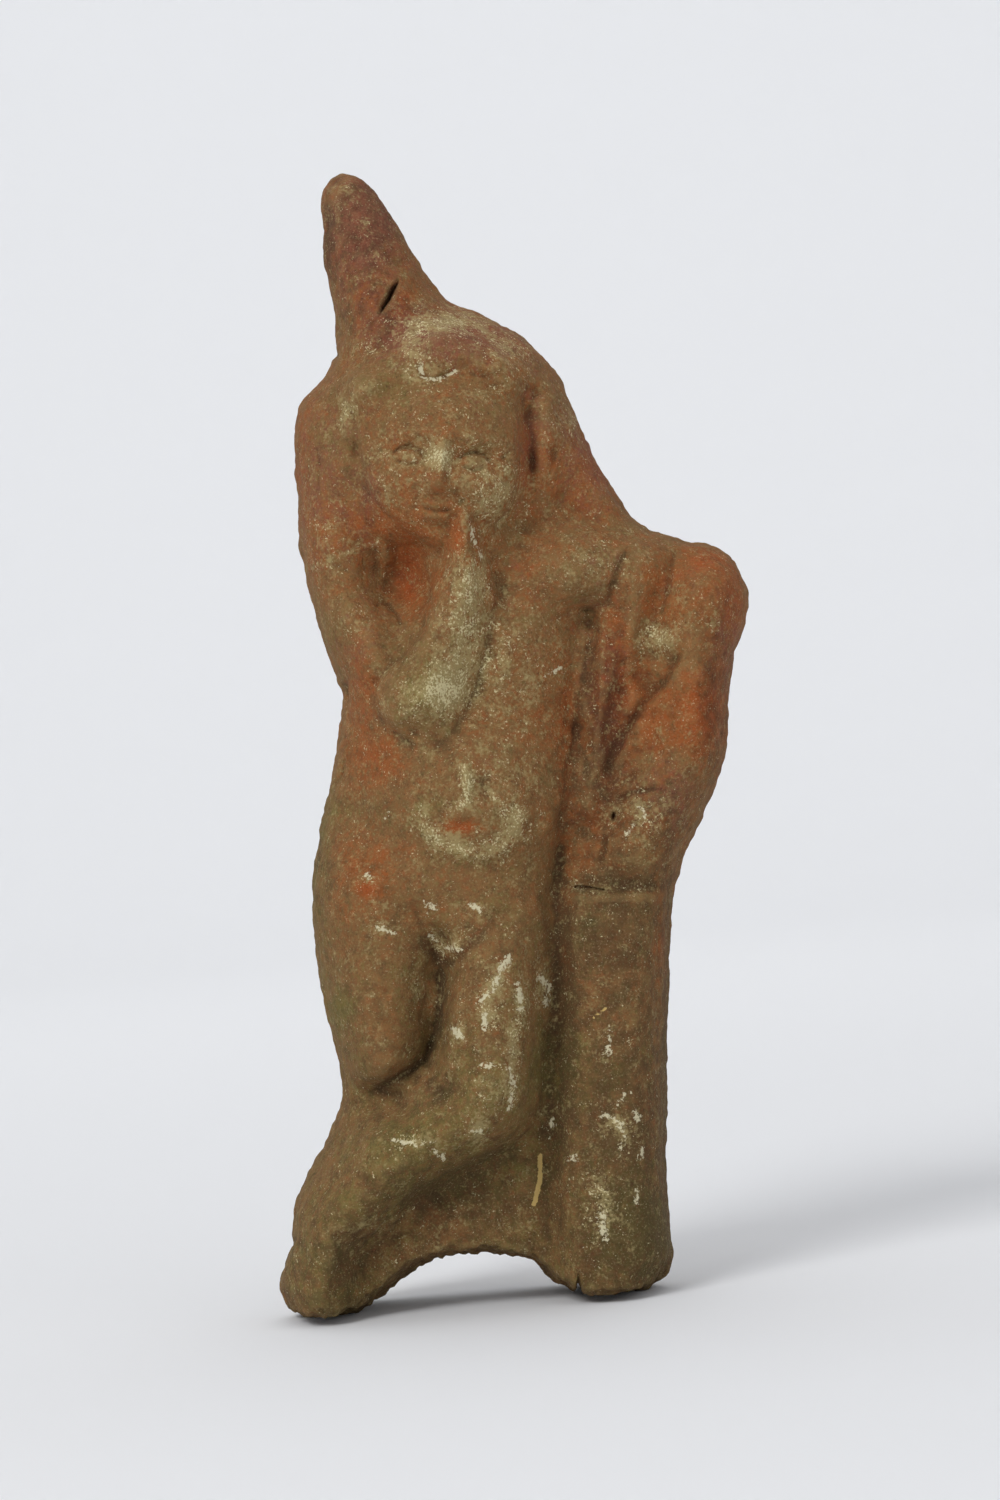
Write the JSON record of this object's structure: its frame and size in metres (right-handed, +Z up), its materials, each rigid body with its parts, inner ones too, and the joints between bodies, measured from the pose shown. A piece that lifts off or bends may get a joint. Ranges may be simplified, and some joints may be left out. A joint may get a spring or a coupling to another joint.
{
  "type": "roman figurine",
  "caption": "Broken terracotta figurine of a child in a tall crown, leaning on a pillar with one hand raised to the chin.",
  "frame": {"origin": "middle of the bounding box's base, at the height of the two worn spots that the figurine stands on", "axes": "+Z up along the figure, from the broken foot to the crown; the carved front faces -Y and +X is the viewer's right"},
  "size_m": [0.069, 0.0336, 0.149],
  "materials": {
    "terracotta": "unglazed low-fired red-brown clay, matt and gritty, with pale lime and soil deposits"
  },
  "bodies": {
    "root": {"terracotta_figurine": "terracotta"}
  },
  "joints": []
}
